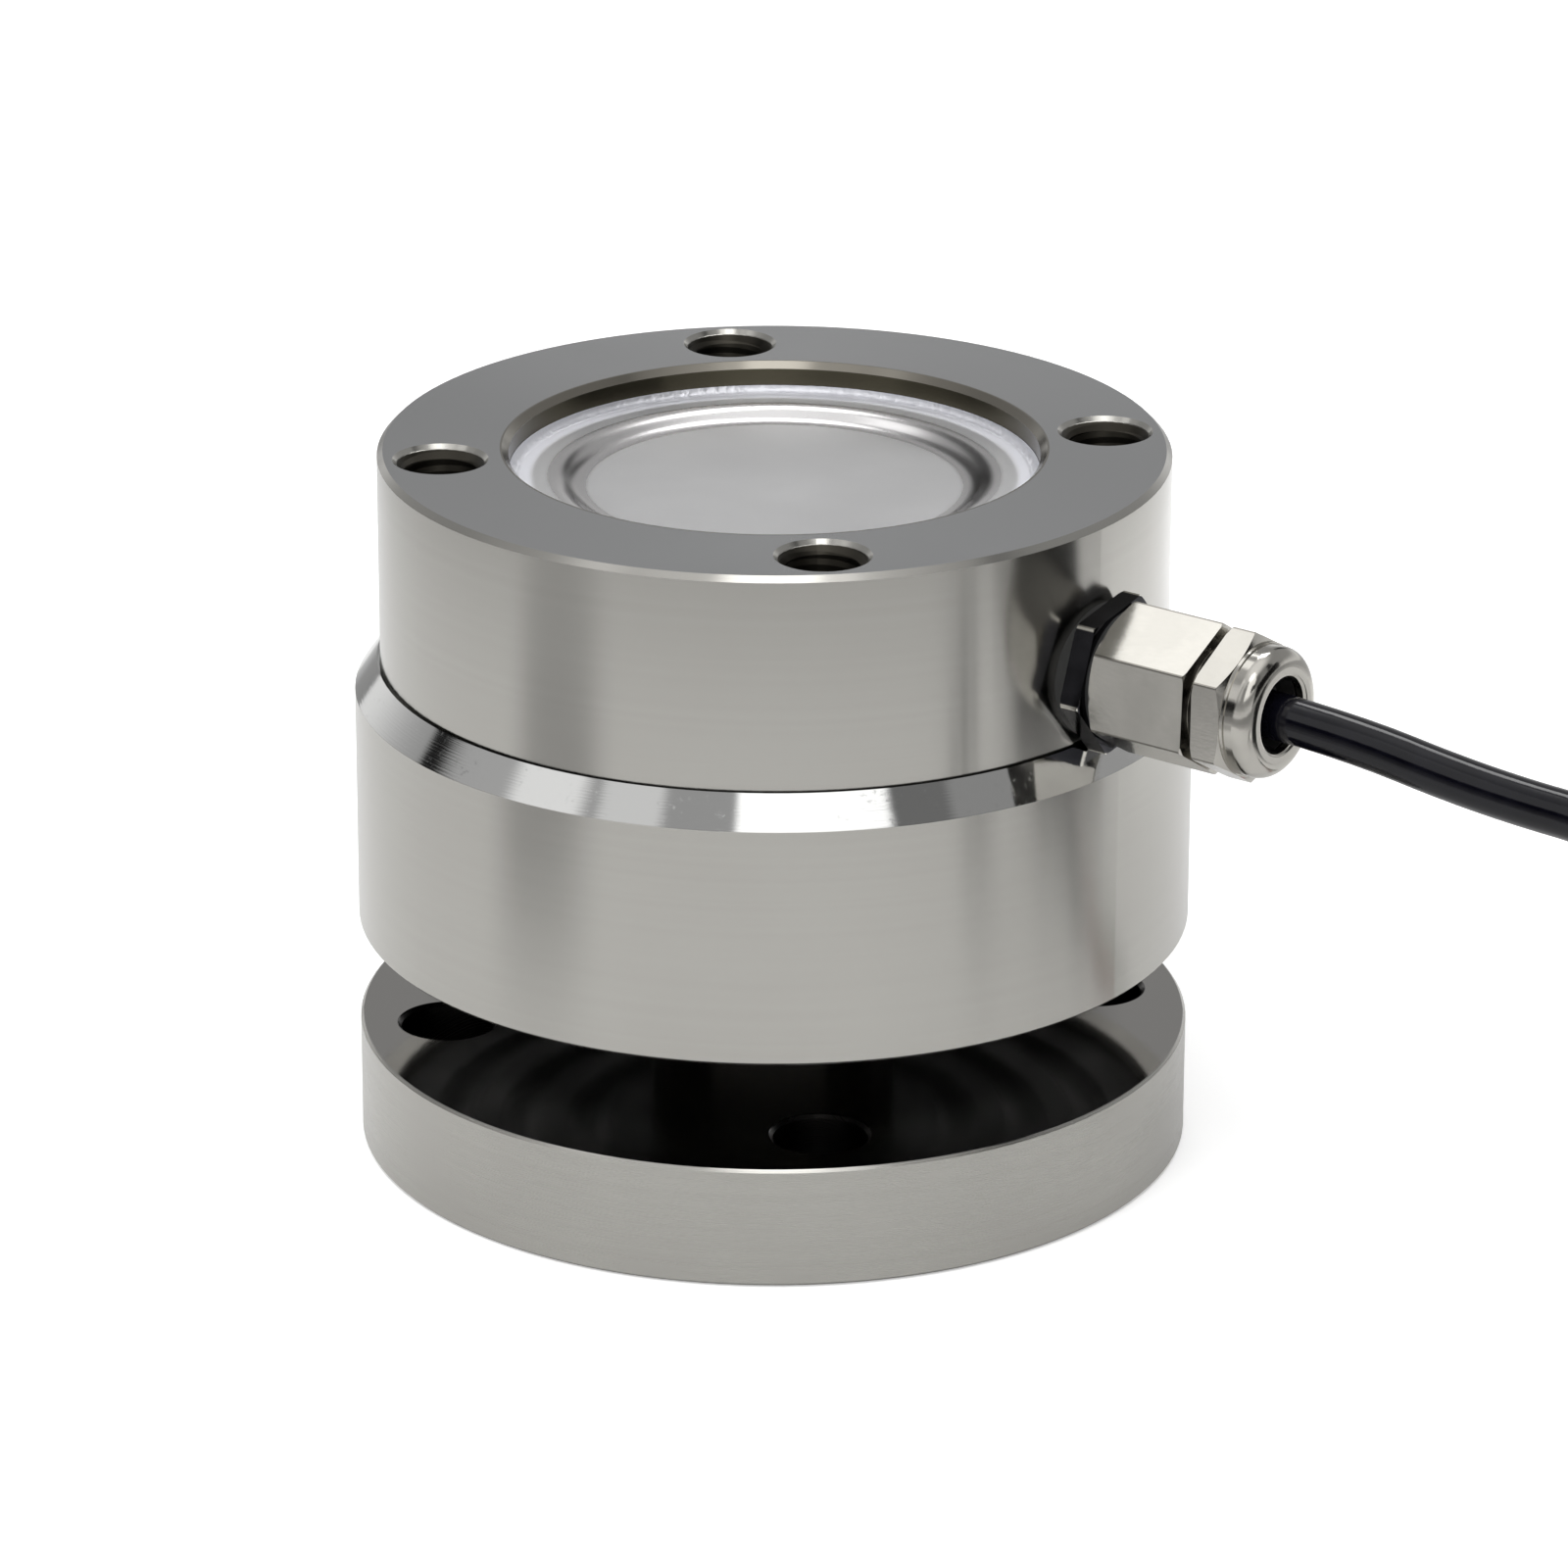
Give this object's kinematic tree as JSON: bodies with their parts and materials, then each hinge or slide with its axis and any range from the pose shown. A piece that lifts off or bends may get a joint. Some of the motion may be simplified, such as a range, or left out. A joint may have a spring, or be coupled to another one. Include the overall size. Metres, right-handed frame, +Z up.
{
  "type": "column load cell",
  "caption": "Round steel column load cell with a recessed bolt flange on top, a chamfered housing sleeve, a bolted base plate and a side gland with a round black cable.",
  "frame": {"origin": "centre of the base plate's underside", "axes": "+Z up, from the base plate's underside to the flange's top face; +X along the cable gland, outwards"},
  "size_m": [0.3634, 0.1414, 0.1],
  "materials": {
    "turned_steel": "fine turned stainless steel, satin",
    "screw_steel": "bright screw steel",
    "spacer_metal": "plain turned brass",
    "sheet_steel": "light satin stainless sheet",
    "cable_jacket": "smooth black jacket, slight gloss",
    "sleeve_plastic": "shrunk black sleeve",
    "board": "green solder mask",
    "tie_plastic": "black moulded strap",
    "core_black": "black insulation",
    "core_green": "green insulation",
    "core_red": "red insulation",
    "core_white": "white insulation",
    "lead_jackets": "grey insulation",
    "terminal_pads": "pale laminate",
    "nickel_plate": "nickel plated, polished",
    "cage_plastic": "moulded dark plastic",
    "black_rubber": "matt black rubber",
    "dark_nickel": "black nickel plated, polished",
    "drain_jacket": "thin black sleeving",
    "gauge_film": "amber film",
    "tinned_wire": "tinned copper strands",
    "resistors": "matt black"
  },
  "bodies": {
    "root": {"base_plate": "turned_steel", "board_screws": "screw_steel", "board_spacers": "spacer_metal", "bottom_diaphragm": "sheet_steel", "cable": "cable_jacket", "cable_coil": "cable_jacket", "cable_end_sleeve": "sleeve_plastic", "cable_tail": "cable_jacket", "circuit_board": "board", "coil_ties": "tie_plastic", "column_body": "turned_steel", "core_black": "core_black", "core_green": "core_green", "core_red": "core_red", "core_white": "core_white", "foot_screws": "screw_steel", "gauge_leads": "lead_jackets", "gauge_terminals": "terminal_pads", "gland_body": "nickel_plate", "gland_cap_nut": "nickel_plate", "gland_clamp_cage": "cage_plastic", "gland_gasket": "black_rubber", "gland_lock_nut": "dark_nickel", "gland_seal_insert": "black_rubber", "gland_wall_seal": "black_rubber", "inner_cores": "lead_jackets", "outer_housing": "turned_steel", "shield_drain": "drain_jacket", "strain_gauges": "gauge_film", "tinned_ends": "tinned_wire", "top_cover": "sheet_steel", "trim_resistors": "resistors"}
  },
  "joints": []
}
